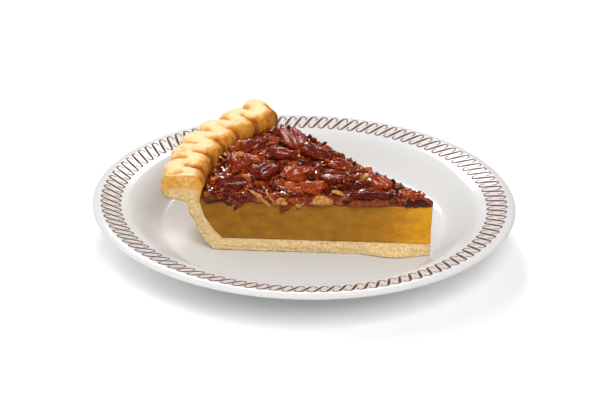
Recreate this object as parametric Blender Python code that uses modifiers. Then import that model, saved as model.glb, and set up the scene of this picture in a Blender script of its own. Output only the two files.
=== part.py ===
"""A cut eighth of a nine-inch pecan pie on a round dessert plate.

The plate is a turned china plate: foot ring, flat well, sloping rim and rolled lip.
The slice is a pastry shell with a crimped rim, a smooth filling that runs through it,
and a glazed layer of chopped pecans with the larger pecan halves and pieces lying in it.

Units are metres, +Z is up, and the origin is the centre of the plate's foot ring on the table.
"""
import math
from dataclasses import dataclass

import bmesh
import bpy
from mathutils import Matrix, Vector, noise

MM = 0.001
MERGE = 0.01 * MM                    # welding distance of coincident points
GAP = 0.3 * MM                       # clearance between pieces that touch

# plate
PLATE_RADIUS = 95.0 * MM
PLATE_SEGMENTS = 48
BAND_RADIUS = 91.0 * MM              # outer ring of the printed border, the plate's highest line
BAND_HEIGHT = 21.0 * MM
SHOULDER_RADIUS = 80.0 * MM          # where the sloping rim turns down into the well
SHOULDER_HEIGHT = 18.2 * MM
WELL_RADIUS = 63.0 * MM
WELL_HEIGHT = 7.0 * MM
WELL_STEPS = 8
PLATE_WALL = 4.2 * MM
LIP_HEIGHT = 2.2 * MM
LIP_STEPS = 4
FOOT_RADIUS = 57.0 * MM
FOOT_WIDTH = 4.5 * MM

# slice: a local frame with the tip at the origin and the near cut face along +X
TIP = Vector((55.6 * MM, -30.8 * MM, WELL_HEIGHT + GAP))
NEAR_CUT_HEADING = math.radians(178.8)
WEDGE = math.radians(46.0)

# pastry
CRUST_THICKNESS = 5.8 * MM
BASE_RADIUS = 93.8 * MM              # edge of the pie's flat bottom
WALL_TOP_RADIUS = 106.9 * MM
WALL_HEIGHT = 22.6 * MM
WALL_STEPS = 5
WALL_FLARE = 0.62                    # below 1: the wall leaves the base slanting, then rises steeply
INNER_BASE_RADIUS = 91.1 * MM
INNER_TOP_RADIUS = 100.7 * MM
INNER_TOP_HEIGHT = 24.6 * MM
RIM_RADIUS = 107.9 * MM              # middle of the fluted edge
RIM_HEIGHT = 29.3 * MM
RIM_HALF_WIDTH = 8.8 * MM
RIM_HALF_HEIGHT = 5.9 * MM
RIM_SQUARENESS = 2.6
RIM_STEPS = 14
CRUST_STEPS = 46

# fluted edge: the pastry band winds in and out, with a pocket in the bend on either side
FLUTE_PITCH = math.radians(7.85)
FLUTE_START = math.radians(-1.6)     # angle of the first pocket on the inner side
FLUTE_SWING = 1.5 * MM
FLUTE_DEPTH = 3.2 * MM
FAR_END_SPREAD = 2.8 * MM            # the edge stands further out and up towards the far cut
FAR_END_RISE = 1.4 * MM
LAST_CREST_RISE = 1.6 * MM

# filling and topping
FILLING_HEIGHT = 24.2 * MM
FILLING_STEPS = 10
TOPPING_RADIUS = 98.7 * MM
TOPPING_RINGS = 16
TOPPING_STEPS = 18
TOPPING_HEIGHT = 28.2 * MM
TOPPING_HEAP = 3.4 * MM              # extra height of the heap towards the crust
TOPPING_ROUGHNESS = 1.3 * MM
LUMP_SIZE = 9.0 * MM


@dataclass(frozen=True)
class PecanPlace:
    """Where a large pecan lies: polar place in the slice, heading, size, lift and roll."""

    radius: float
    angle: float
    heading: float
    length: float
    lift: float = 0.8
    roll: float = 0.0
    width: float = 11.5


# radius, length, lift and width in mm, angles in degrees; the first lies in the near cut face
PECANS = (
    PecanPlace(27.0, 6.5, 0, 20.0, lift=-2.6, roll=38, width=10.0),
    PecanPlace(81.0, 39.5, -75, 21.0, lift=1.0),
    PecanPlace(91.0, 28.5, 55, 16.0, lift=0.6, width=10.0),
    PecanPlace(88.0, 5.0, 18, 17.0, lift=0.4),
    PecanPlace(64.0, 36.5, -40, 16.0, lift=1.0, width=10.5),
    PecanPlace(75.5, 15.5, 62, 18.0, lift=1.2),
    PecanPlace(61.0, 17.0, 40, 17.0, lift=1.0, width=10.5),
    PecanPlace(48.5, 34.5, -40, 14.0, lift=0.6, width=9.5),
    PecanPlace(44.5, 20.5, -8, 18.0, lift=0.8, width=10.0),
    PecanPlace(25.5, 32.5, -44, 12.5, lift=0.7, width=8.0),
    PecanPlace(11.0, 23.0, -20, 11.5, lift=0.2, width=6.5),
    PecanPlace(75.0, 27.5, -20, 16.0, lift=1.1, width=10.5),
    PecanPlace(89.0, 17.5, -70, 14.5, lift=0.9, width=10.0),
    PecanPlace(53.0, 6.5, 10, 14.0, lift=0.3, width=9.0),
)
PECAN_HEIGHT_RATIO = 0.62            # thickness of a half over its width
PECAN_SEGMENTS = 10
PECAN_RINGS = 7


def smooth(t):
    """Rise from 0 to 1 with level ends."""
    t = min(max(t, 0.0), 1.0)
    return t * t * (3.0 - 2.0 * t)


def mix(a, b, t):
    """Blend from a to b."""
    return a + (b - a) * t


def material(name, colour, roughness):
    """Principled material of one colour."""
    mat = bpy.data.materials.new(name)
    mat.use_nodes = True
    shader = mat.node_tree.nodes["Principled BSDF"]
    shader.inputs["Base Color"].default_value = (*colour, 1.0)
    shader.inputs["Roughness"].default_value = roughness
    shader.inputs["Metallic"].default_value = 0.0
    return mat


def new_object(name, mesh, collection, finish):
    """Put a mesh in the collection under its node name, with its finish."""
    obj = bpy.data.objects.new(name, mesh)
    collection.objects.link(obj)
    mesh.materials.clear()
    mesh.materials.append(finish)
    return obj


def well_wall(steps):
    """Points up the wall of the well: level at its foot, at the rim's slope at its shoulder."""
    run = SHOULDER_RADIUS - WELL_RADIUS
    rim_slope = (BAND_HEIGHT - SHOULDER_HEIGHT) / (BAND_RADIUS - SHOULDER_RADIUS)
    for i in range(steps + 1):
        t = i / steps
        height = mix(WELL_HEIGHT, SHOULDER_HEIGHT, smooth(t)) + rim_slope * run * t * t * (t - 1)
        yield mix(WELL_RADIUS, SHOULDER_RADIUS, t), height


def plate_profile():
    """Half section of the plate: over the face, round the lip and back under to the axis."""
    points = [(0.0, WELL_HEIGHT)]
    points += well_wall(WELL_STEPS)
    points.append((BAND_RADIUS, BAND_HEIGHT))
    lip_centre = BAND_HEIGHT - LIP_HEIGHT / 2
    for i in range(1, LIP_STEPS + 1):
        turn = math.pi * i / LIP_STEPS
        points.append((BAND_RADIUS + (PLATE_RADIUS - BAND_RADIUS) * math.sin(turn),
                       lip_centre + LIP_HEIGHT / 2 * math.cos(turn)))
    under = [(r, h - PLATE_WALL) for r, h in well_wall(WELL_STEPS // 2)]
    points += reversed(under)
    ledge = WELL_HEIGHT - PLATE_WALL
    points += [(FOOT_RADIUS + FOOT_WIDTH / 2, ledge), (FOOT_RADIUS + FOOT_WIDTH / 3, 0.0),
               (FOOT_RADIUS - FOOT_WIDTH / 3, 0.0), (FOOT_RADIUS - FOOT_WIDTH / 2, ledge),
               (0.0, ledge)]
    return points


def make_plate(collection, finish):
    """Turn the plate from its half section with a Screw modifier."""
    points = plate_profile()
    mesh = bpy.data.meshes.new("plate")
    edges = [(i, i + 1) for i in range(len(points) - 1)]
    mesh.from_pydata([(r, 0.0, h) for r, h in points], edges, [])
    plate = new_object("plate", mesh, collection, finish)
    screw = plate.modifiers.new("turn", "SCREW")
    screw.steps = screw.render_steps = PLATE_SEGMENTS
    screw.use_merge_vertices = True
    screw.merge_threshold = MERGE
    screw.use_smooth_shade = False
    return plate


def spin_wedge(name, section, steps):
    """Turn a closed (radius, height) section about the tip's upright line into a wedge."""
    bm = bmesh.new()
    verts = [bm.verts.new((r, 0.0, h)) for r, h in section]
    face = bm.faces.new(verts)
    bmesh.ops.spin(bm, geom=[face, *face.edges, *verts], cent=(0, 0, 0), axis=(0, 0, 1),
                   angle=-WEDGE, steps=steps, use_duplicate=False)
    bmesh.ops.remove_doubles(bm, verts=bm.verts, dist=MERGE)
    bmesh.ops.recalc_face_normals(bm, faces=bm.faces)
    mesh = bpy.data.meshes.new(name)
    bm.to_mesh(mesh)
    bm.free()
    return mesh


def reshape(mesh, move):
    """Move every point of a wedge by a rule on its radius, angle and height."""
    for vert in mesh.vertices:
        x, y, height = vert.co
        radius, height = move(math.hypot(x, y), math.atan2(-y, x), height)
        angle = math.atan2(-y, x)
        vert.co = (radius * math.cos(angle), -radius * math.sin(angle), height)


def outer_wall():
    """Outside of the pastry wall, from the base up to the rim's underside."""
    for i in range(WALL_STEPS + 1):
        t = i / WALL_STEPS
        yield mix(BASE_RADIUS, WALL_TOP_RADIUS, t ** WALL_FLARE), WALL_HEIGHT * t


def inner_wall(top, inset=0.0):
    """Inside of the pastry wall from the bottom crust up to a height, moved in by a clearance."""
    base = CRUST_THICKNESS + inset
    for i in range(WALL_STEPS + 1):
        height = mix(base, top, i / WALL_STEPS)
        t = (height - CRUST_THICKNESS) / (INNER_TOP_HEIGHT - CRUST_THICKNESS)
        yield mix(INNER_BASE_RADIUS, INNER_TOP_RADIUS, 1 - (1 - t) ** 2) - 1.5 * inset, height


def rim_outline():
    """Rounded edge of the pastry, from its underside round the outside to its inner edge."""
    start = math.radians(-68)
    for i in range(RIM_STEPS + 1):
        turn = mix(start, math.pi, i / RIM_STEPS)
        c, s = math.cos(turn), math.sin(turn)
        yield (RIM_RADIUS + RIM_HALF_WIDTH * math.copysign(abs(c) ** (2 / RIM_SQUARENESS), c),
               RIM_HEIGHT + RIM_HALF_HEIGHT * math.copysign(abs(s) ** (2 / RIM_SQUARENESS), s))


def flute(radius, angle, height):
    """Wind the pastry edge in and out and press a pocket into each bend."""
    if height < INNER_TOP_HEIGHT and radius < WALL_TOP_RADIUS + GAP:
        return radius, height
    outward = smooth((radius - RIM_RADIUS + RIM_HALF_WIDTH) / (2 * RIM_HALF_WIDTH))
    upper = smooth((height - (RIM_HEIGHT - RIM_HALF_HEIGHT)) / (2 * RIM_HALF_HEIGHT))
    wave = math.cos(2 * math.pi * (angle - FLUTE_START) / FLUTE_PITCH)
    bend_out, bend_in = max(wave, 0.0), max(-wave, 0.0)
    swing = FLUTE_SWING * (bend_out - bend_in * outward)
    pocket = bend_out ** 1.5 * (1 - outward) + bend_in ** 1.5 * outward
    far = smooth(angle / WEDGE / 0.6)
    last = smooth((angle - WEDGE) / FLUTE_PITCH + 1)
    rise = FAR_END_RISE * far + LAST_CREST_RISE * last
    return (radius + swing + FAR_END_SPREAD * far * outward,
            height + (rise - FLUTE_DEPTH * pocket) * upper)


def make_crust(collection, finish):
    """Bottom crust, side wall and crimped edge as one pastry shell."""
    section = [(0.0, 0.0), *outer_wall(), *rim_outline()]
    section += reversed(list(inner_wall(INNER_TOP_HEIGHT)))
    section.append((0.0, CRUST_THICKNESS))
    mesh = spin_wedge("crust", section, CRUST_STEPS)
    reshape(mesh, flute)
    return new_object("crust", mesh, collection, finish)


def make_filling(collection, finish):
    """Set custard that fills the shell up to the nuts, cut clean on both sides."""
    section = [(0.0, CRUST_THICKNESS + GAP), *inner_wall(FILLING_HEIGHT, GAP), (0.0, FILLING_HEIGHT)]
    mesh = spin_wedge("filling", section, FILLING_STEPS)
    return new_object("filling", mesh, collection, finish)


def topping_height(radius, angle):
    """Uneven upper side of the nut layer: it heaps towards the crust and the far cut."""
    along = smooth((radius - 35 * MM) / (60 * MM))
    inward = smooth(angle / math.radians(22))
    place = Vector((radius * math.cos(angle), radius * math.sin(angle), 0.0)) / LUMP_SIZE
    return TOPPING_HEIGHT + TOPPING_HEAP * along * inward + TOPPING_ROUGHNESS * noise.noise(place)


def make_topping(collection, finish):
    """Nut layer out to its uneven outline, over the filling."""
    rings = [TOPPING_RADIUS * (i / TOPPING_RINGS) for i in range(TOPPING_RINGS + 1)]
    bottom = FILLING_HEIGHT + GAP
    section = [(r, bottom) for r in rings] + [(r, TOPPING_HEIGHT) for r in reversed(rings)]
    mesh = spin_wedge("pecan_topping", section, TOPPING_STEPS)

    def raise_top(radius, angle, height):
        """Give a point of the upper side its uneven height."""
        return radius, topping_height(radius, angle) if height > bottom + GAP else height

    reshape(mesh, raise_top)
    return new_object("pecan_topping", mesh, collection, finish)


def pecan_mesh(name, place, swell=0.0):
    """Half pecan: a pointed dome, flat below, with a groove along its back."""
    bm = bmesh.new()
    bmesh.ops.create_uvsphere(bm, u_segments=PECAN_SEGMENTS, v_segments=PECAN_RINGS, radius=1.0,
                              matrix=Matrix.Rotation(math.radians(90), 4, "Y"))
    half_length = place.length * MM / 2 + swell
    half_width = place.width * MM / 2 + swell
    thickness = place.width * MM * PECAN_HEIGHT_RATIO
    for vert in bm.verts:
        x, y, z = vert.co
        groove = 0.0 if swell else 0.16 * math.exp(-(y / 0.22) ** 2) * max(z, 0.0)
        dome = 0.66 * thickness * (z - groove) if z > 0 else 0.34 * thickness * z
        taper = 1.0 - 0.15 * x - 0.25 * x * x
        vert.co = (half_length * x, half_width * y * taper + math.copysign(swell, y) * abs(x),
                   dome + math.copysign(swell, z))
    mesh = bpy.data.meshes.new(name)
    bm.to_mesh(mesh)
    bm.free()
    return mesh


def place_pecan(obj, place, frame):
    """Lay a pecan on the nut layer at its place in the slice."""
    radius, angle = place.radius * MM, math.radians(place.angle)
    height = topping_height(radius, angle) + place.lift * MM
    obj.parent = frame
    obj.location = (radius * math.cos(angle), -radius * math.sin(angle), height)
    obj.rotation_euler = (math.radians(place.roll), 0.0, math.radians(place.heading))


def make_pecans(collection, cutters, frame, finish):
    """Large pecan pieces, each with a slightly larger cutter for its bed in the layers below."""
    beds = []
    for number, place in enumerate(PECANS, 1):
        name = f"pecan_{number:02d}"
        pecan = new_object(name, pecan_mesh(name, place), collection, finish)
        place_pecan(pecan, place, frame)
        bed = new_object(f"bed_{number:02d}", pecan_mesh("bed", place, GAP), cutters, finish)
        place_pecan(bed, place, frame)
        bed.hide_render = True
        bed.display_type = "WIRE"
        beds.append(bed)
    return beds


def cut(obj, cutter):
    """Subtract a cutter from an object."""
    boolean = obj.modifiers.new(f"cut_{cutter.name}", "BOOLEAN")
    boolean.operation = "DIFFERENCE"
    boolean.solver = "EXACT"
    boolean.object = cutter


def main():
    """Build the plate and the slice on it."""
    for obj in list(bpy.data.objects):
        bpy.data.objects.remove(obj, do_unlink=True)
    collection = bpy.data.collections.new("pecan_pie_slice")
    cutters = bpy.data.collections.new("cutters")
    for group in (collection, cutters):
        bpy.context.scene.collection.children.link(group)

    china = material("glazed_china", (0.80, 0.80, 0.81), 0.12)
    pastry = material("baked_pastry", (0.78, 0.52, 0.24), 0.65)
    custard = material("set_filling", (0.38, 0.19, 0.03), 0.35)
    syrup = material("nut_glaze", (0.16, 0.03, 0.01), 0.22)
    nut = material("glazed_pecan", (0.22, 0.04, 0.015), 0.25)

    frame = bpy.data.objects.new("slice_frame", None)
    frame.location = TIP
    frame.rotation_euler = (0.0, 0.0, NEAR_CUT_HEADING)
    collection.objects.link(frame)

    make_plate(collection, china)
    crust = make_crust(collection, pastry)
    filling = make_filling(collection, custard)
    topping = make_topping(collection, syrup)
    for piece in (crust, filling, topping):
        piece.parent = frame
    beds = make_pecans(collection, cutters, frame, nut)
    for bed in beds:
        cut(topping, bed)
    cut(filling, beds[0])
    bpy.context.view_layer.update()


main()
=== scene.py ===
"""A slice of pecan pie on a dessert plate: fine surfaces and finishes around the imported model.

Every shape is worked out with numpy on a grid of two parameters, in metres, in the frame of the
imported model: +Z up, origin under the centre of the plate.
"""
import logging
import math
from dataclasses import dataclass
from enum import Enum, IntEnum
from itertools import product

import bmesh
import bpy
import numpy as np
from mathutils import Matrix, Vector


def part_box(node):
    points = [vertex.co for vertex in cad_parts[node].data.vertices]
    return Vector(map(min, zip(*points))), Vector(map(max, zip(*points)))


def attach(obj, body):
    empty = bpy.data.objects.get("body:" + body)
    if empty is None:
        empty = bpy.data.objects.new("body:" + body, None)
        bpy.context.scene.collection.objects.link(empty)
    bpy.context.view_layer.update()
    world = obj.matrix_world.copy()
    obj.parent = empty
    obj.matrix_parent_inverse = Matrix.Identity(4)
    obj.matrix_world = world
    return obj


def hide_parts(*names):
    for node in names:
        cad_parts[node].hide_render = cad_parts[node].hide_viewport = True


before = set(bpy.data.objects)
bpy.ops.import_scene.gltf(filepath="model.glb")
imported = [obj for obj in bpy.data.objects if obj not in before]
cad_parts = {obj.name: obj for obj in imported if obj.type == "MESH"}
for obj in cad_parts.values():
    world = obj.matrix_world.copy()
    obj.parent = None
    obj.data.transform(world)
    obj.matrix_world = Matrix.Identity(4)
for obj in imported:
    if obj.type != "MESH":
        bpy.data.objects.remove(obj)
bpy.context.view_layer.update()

LOG = logging.getLogger("pecan_pie")
Array = np.ndarray
Piece = bpy.types.Object
Material = bpy.types.Material
Tree = bpy.types.NodeTree
Socket = bpy.types.NodeSocket
Draws = np.random.RandomState
MM = 0.001


class Slot(Enum):
    """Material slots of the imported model."""

    CHINA = "china"
    PASTRY = "pastry"
    FILLING = "filling"
    NUT_GLAZE = "nut_glaze"
    PECAN = "pecan"


class Seed(IntEnum):
    """Seeds of the noise patterns and random draws; some go up by one for each piece."""

    RIM_LUMPS = 11
    CHIP_DRAWS = 17
    SKIN = 21
    CRUMB = 31
    BROWN_PATCHES = 41
    BROWN_SPOTS = 45
    KNIFE_WAVE = 51
    CHIP_SHAPES = 60
    PORES = 61
    SYRUP_TOP = 71
    SYRUP_BOTTOM = 75
    SYRUP_DRIPS = 81
    HALF_DRAWS = 400
    CHIP_LUMPS = 640
    KERNEL_FOLDS = 700
    KERNEL_LUMPS = 900


# ---------------------------------------------------------------- numbers and noise

def smooth(t: Array | float) -> Array:
    """Rise from 0 to 1 with level ends: 3t^2 - 2t^3 on t held between 0 and 1."""
    t = np.clip(t, 0.0, 1.0)
    return t * t * (3.0 - 2.0 * t)


def mix(a: Array | float, b: Array | float, t: Array | float) -> Array:
    """Blend from a to b: a + (b - a) t."""
    return a + (b - a) * t


def gradient_noise(points: Array, grain: float, seed: int) -> Array:
    """Smooth noise of about -1 to 1 with bumps about one grain wide.

    Space is cut into cubes of side grain. Each cube corner has a random direction; the value is the
    blend, by quintic weights, of the eight products of direction and offset from the corner.

    Args:
        points: Places, one row of three numbers each.
        grain: Width of a bump, in the units of the points.
        seed: Number of the noise pattern.

    Returns:
        One value for each point.
    """
    table = Draws(seed).normal(size=(256, 3))
    table /= np.linalg.norm(table, axis=1, keepdims=True)
    scaled = points / grain + 31.7 * (seed % 97 + 1)
    cell = np.floor(scaled).astype(np.int64)
    offset = scaled - cell
    weight = offset ** 3 * (offset * (offset * 6 - 15) + 10)
    total = np.zeros(len(points))
    for corner in product((0, 1), repeat=3):
        at = cell + corner
        key = (at[:, 0] * 73856093) ^ (at[:, 1] * 19349663) ^ (at[:, 2] * 83492791)
        direction = table[(key ^ (key >> 9)) & 255]
        share = np.prod(np.where(corner, weight, 1 - weight), axis=1)
        total += share * np.sum(direction * (offset - corner), axis=1)
    return 1.6 * total


def layered_noise(points: Array, grain: float, seed: int, layers: int = 3) -> Array:
    """Sum of noises, each with half the grain and half the height of the one before."""
    return sum(gradient_noise(points, grain / 2 ** k, seed + k) / 2 ** k for k in range(layers))


# ---------------------------------------------------------------- meshes

def grid_quads(rows: int, columns: int, start: int = 0, ring: bool = False) -> Array:
    """Corner numbers of the faces of a grid whose points are stored row by row.

    Args:
        rows: Rows of points.
        columns: Points in a row.
        start: Number of the first point.
        ring: Whether each row closes on itself.

    Returns:
        Four corner numbers for each face.
    """
    i = np.arange(rows - 1)[:, None] * columns
    j = np.arange(columns if ring else columns - 1)[None, :]
    k = (j + 1) % columns
    corners = np.stack([i + j, i + k, i + columns + k, i + columns + j], axis=-1)
    return start + corners.reshape(-1, 4)


def grid_of(radius: Array | float, angle: Array | float, height: Array | float) -> Array:
    """A grid of polar places, rows by columns, from three values that broadcast together."""
    return np.stack(np.broadcast_arrays(radius, angle, height), axis=-1)


def joined_grids(*grids: Array) -> tuple[Array, Array]:
    """Join several grids.

    Args:
        grids: Grids of places, rows by columns.

    Returns:
        Their points in one list, and four corner numbers for each of their faces.
    """
    starts = np.cumsum([0] + [grid[..., 0].size for grid in grids])
    quads = [grid_quads(*grid.shape[:2], start) for grid, start in zip(grids, starts)]
    return np.concatenate([grid.reshape(-1, 3) for grid in grids]), np.concatenate(quads)


def new_mesh(name: str, points: Array, quads: Array, weld: float = 0.5e-6,
             **attributes: Array) -> Piece:
    """Make a closed mesh object: merge coinciding points and turn all faces outwards.

    Args:
        name: Name of the piece.
        points: Places in metres.
        quads: Corner numbers of its faces.
        weld: Distance under which points are one.
        attributes: Values to store for the points, by the name that a finish reads.

    Returns:
        The new object, at the origin.
    """
    mesh = bpy.data.meshes.new(name)
    mesh.from_pydata(points.tolist(), [], quads.tolist())
    for label, values in attributes.items():
        layer = mesh.attributes.new(label, "FLOAT", "POINT")
        layer.data.foreach_set("value", values.astype(np.float32))
    solid = bmesh.new()
    solid.from_mesh(mesh)
    bmesh.ops.remove_doubles(solid, verts=solid.verts, dist=weld)
    bmesh.ops.dissolve_degenerate(solid, dist=weld, edges=solid.edges)
    bmesh.ops.recalc_face_normals(solid, faces=solid.faces)
    solid.to_mesh(mesh)
    solid.free()
    mesh.shade_smooth()
    piece = bpy.data.objects.new(name, mesh)
    bpy.context.scene.collection.objects.link(piece)
    return piece


def rows_of(items: bpy.types.bpy_prop_collection, name: str) -> Array:
    """Three numbers for each item of a mesh, one row each.

    Args:
        items: The mesh's points, or another of its lists.
        name: What is read from each item.

    Returns:
        The numbers.
    """
    flat = np.empty(3 * len(items))
    items.foreach_get(name, flat)
    return flat.reshape(-1, 3)


def points_of(piece: Piece) -> Array:
    """Places of a mesh's points, one row each."""
    return rows_of(piece.data.vertices, "co")


def normals_of(piece: Piece) -> Array:
    """Outward directions at a mesh's points, one row each."""
    return rows_of(piece.data.vertex_normals, "vector")


def set_points(piece: Piece, points: Array) -> None:
    """Move a mesh's points to new places."""
    piece.data.vertices.foreach_set("co", points.ravel())
    piece.data.update()


def set_attribute(piece: Piece, name: str, values: Array) -> None:
    """Store one number for each point, which a finish reads by name."""
    layer = piece.data.attributes.new(name, "FLOAT", "POINT")
    layer.data.foreach_set("value", values.astype(np.float32))


def finish_piece(piece: Piece, material: Material, slot: Slot, *stands_for: str) -> None:
    """Give a piece its finish, let it ride on the model and hide the solids it stands for.

    Args:
        piece: The finished mesh object.
        material: Its material.
        slot: Its material slot; not used.
        stands_for: Names of the solids that it replaces.
    """
    piece.data.materials.append(material)
    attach(piece, "root")
    if stands_for:
        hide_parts(*stands_for)
    LOG.info("%s: %d points", piece.name, len(piece.data.vertices))


# ---------------------------------------------------------------- materials

def linear(code: str) -> tuple[float, float, float, float]:
    """Turn an sRGB hex colour such as "C68A3B" into linear red, green, blue and alpha."""
    parts = [int(code[i:i + 2], 16) / 255 for i in (0, 2, 4)]
    return (*(v / 12.92 if v <= 0.04045 else ((v + 0.055) / 1.055) ** 2.4 for v in parts), 1.0)


def add_node(tree: Tree, kind: str, values: dict | None = None, links: dict | None = None,
             out: int | str = 0, stops: tuple = (), **settings: object) -> Socket | None:
    """Add a shader node.

    Args:
        tree: Node tree of the material.
        kind: The node's type without its "ShaderNode" prefix.
        values: Input name or number to its fixed value.
        links: Input name or number to the output socket that feeds it.
        out: Name or number of the output to give back.
        stops: Places and hex colours of a colour ramp, in order.
        settings: Properties of the node.

    Returns:
        The output asked for, if the node has outputs.
    """
    node = tree.nodes.new(f"ShaderNode{kind}")
    for name, value in settings.items():
        setattr(node, name, value)
    for name, value in (values or {}).items():
        node.inputs[name].default_value = value
    for name, socket in (links or {}).items():
        tree.links.new(socket, node.inputs[name])
    for place, _ in stops[2:]:
        node.color_ramp.elements.new(place)
    for index, (place, code) in enumerate(stops):
        stop = node.color_ramp.elements[index]
        stop.position, stop.color = place, linear(code)
    return node.outputs[out] if node.outputs else None


def new_material(name: str) -> tuple[Material, Tree, Socket]:
    """Start a material.

    Args:
        name: Its name.

    Returns:
        The material, its empty node tree and the piece's own coordinates.
    """
    material = bpy.data.materials.new(name)
    material.use_nodes = True
    material.node_tree.nodes.clear()
    return material, material.node_tree, add_node(material.node_tree, "TexCoord", out="Object")


def swayed(tree: Tree, level: Socket, pattern: Socket, sway: float) -> Socket:
    """The level plus sway times the pattern's distance from its mean, 0.5."""
    around = add_node(tree, "Math", {1: 0.5}, {0: pattern}, operation="SUBTRACT")
    return add_node(tree, "Math", {1: sway}, {0: around, 2: level}, operation="MULTIPLY_ADD")


def add_surface(tree: Tree, uniform: dict, links: dict | None = None) -> None:
    """Add the Principled shader, with its uniform values and its links, and the output."""
    shader = add_node(tree, "BsdfPrincipled", uniform, links)
    add_node(tree, "OutputMaterial", links={"Surface": shader})


@dataclass(frozen=True)
class GlazedChina:
    """Vitrified white hotel china, dipped in clear glaze and fired.

    The glaze gives small, soft-edged reflections over a slightly warm white body, with a faint
    ripple where it ran before it set. The body is a shade warmer under the printed band.
    """

    body: str = "D1D0CF"
    body_cool: str = "CFCFCE"
    band_tint: str = "CFC8C4"
    band_mm: tuple[float, float] = (82.6, 90.9)
    band_fade_mm: float = 0.5
    cloud_mm: float = 40.0
    ripple_mm: float = 7.0

    def make(self) -> Material:
        """Build the material.

        The band is where the distance from its middle is small.

        Returns:
            The material.
        """
        material, tree, place = new_material("glazed_china")
        flat = add_node(tree, "VectorMath", {1: (1000.0, 1000.0, 0.0)}, {0: place},
                        operation="MULTIPLY")
        radius = add_node(tree, "VectorMath", links={0: flat}, out="Value", operation="LENGTH")
        middle, half = sum(self.band_mm) / 2, (self.band_mm[1] - self.band_mm[0]) / 2
        off = add_node(tree, "Math", {1: middle}, {0: radius}, operation="SUBTRACT")
        away = add_node(tree, "Math", links={0: off}, operation="ABSOLUTE")
        inside = add_node(tree, "MapRange", {"From Min": half + self.band_fade_mm,
                                             "From Max": half - self.band_fade_mm},
                          {"Value": away}, interpolation_type="SMOOTHSTEP")
        cloud = add_node(tree, "TexNoise", {"Scale": 1000 / self.cloud_mm, "Detail": 2.0},
                         {"Vector": place})
        body = add_node(tree, "ValToRGB", links={"Fac": cloud},
                        stops=((0.3, self.body), (0.75, self.body_cool)))
        tinted = add_node(tree, "Mix", {7: linear(self.band_tint)}, {0: inside, 6: body}, out=2,
                          data_type="RGBA")
        ripple = add_node(tree, "TexNoise", {"Scale": 1000 / self.ripple_mm, "Detail": 1.0},
                          {"Vector": place})
        bump = add_node(tree, "Bump", {"Strength": 0.02, "Distance": 0.001}, {"Height": ripple})
        add_surface(tree, {"Roughness": 0.15, "IOR": 1.5, "Specular IOR Level": 0.08},
                    {"Base Color": tinted, "Normal": bump})
        return material


@dataclass(frozen=True)
class PrintedEnamel:
    """Brown transfer print, fired onto the glaze.

    The strokes are a little duller than the china, dark where the print is thick and lighter and
    slightly worn at the hair strokes.
    """

    dark: str = "5E453B"
    light: str = "866C60"
    speck_mm: float = 0.6

    def make(self) -> Material:
        """Build the material.

        It reads the strokes' boldness.

        Returns:
            The material.
        """
        material, tree, place = new_material("printed_enamel")
        bold = add_node(tree, "Attribute", out="Fac", attribute_name="bold")
        speck = add_node(tree, "TexNoise", {"Scale": 1000 / self.speck_mm, "Detail": 1.0},
                         {"Vector": place})
        colour = add_node(tree, "ValToRGB", links={"Fac": swayed(tree, bold, speck, 0.7)},
                          stops=((0.05, self.light), (0.6, self.dark)))
        add_surface(tree, {"Roughness": 0.3, "IOR": 1.5, "Specular IOR Level": 0.04},
                    {"Base Color": colour})
        return material


@dataclass(frozen=True)
class BakedPastry:
    """Shortcrust pastry, pressed into flutes and baked.

    Thick crests stay pale and the thin bends brown first; the pockets and the inner side of the rim
    are darker, partly from baking and partly as painted shade. The skin is dull with fine blisters;
    where it is cut it shows a cream, open crumb whose low specks are darkened as painted shade.
    """

    pale: str = "EECD99"
    golden: str = "DDA043"
    brown: str = "C67B27"
    dark: str = "96521C"
    crumb: str = "EACF9C"
    # crumb_shadow is painted shade in the crumb's low spots
    crumb_shadow: str = "CEA768"
    blister_mm: float = 2.2
    grain_mm: float = 1.0

    def make(self) -> Material:
        """Build the material.

        It reads how far each point is baked, with painted shade in the pockets, and whether it is cut.

        Returns:
            The material.
        """
        material, tree, place = new_material("baked_pastry")
        bake_and_shade, cut = (add_node(tree, "Attribute", out="Fac", attribute_name=name)
                     for name in ("bake_and_shade", "cut"))
        blister, grain = (add_node(tree, "TexNoise", {"Scale": 1000 / size, "Detail": detail},
                                   {"Vector": place})
                          for size, detail in ((self.blister_mm, 3.0), (self.grain_mm, 2.0)))
        # skin colour from the level: pale crests, pockets darkened by baking plus painted shade
        skin = add_node(tree, "ValToRGB", links={"Fac": swayed(tree, bake_and_shade, blister, 0.75)},
                        stops=((0.08, self.pale), (0.38, self.golden), (0.68, self.brown),
                               (0.95, self.dark)))
        # painted shade: where the grain sinks the bump, the crumb takes its shadow colour
        inner = add_node(tree, "ValToRGB", links={"Fac": grain},
                         stops=((0.28, self.crumb_shadow), (0.60, self.crumb)))
        colour = add_node(tree, "Mix", links={0: cut, 6: skin, 7: inner}, out=2, data_type="RGBA")
        height = add_node(tree, "Math", {1: 0.6}, {0: grain, 2: blister}, operation="MULTIPLY_ADD")
        bump = add_node(tree, "Bump", {"Strength": 0.5, "Distance": 0.0005}, {"Height": height})
        add_surface(tree, {"Roughness": 0.62, "IOR": 1.45, "Specular IOR Level": 0.35},
                    {"Base Color": colour, "Normal": bump})
        return material


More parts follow.
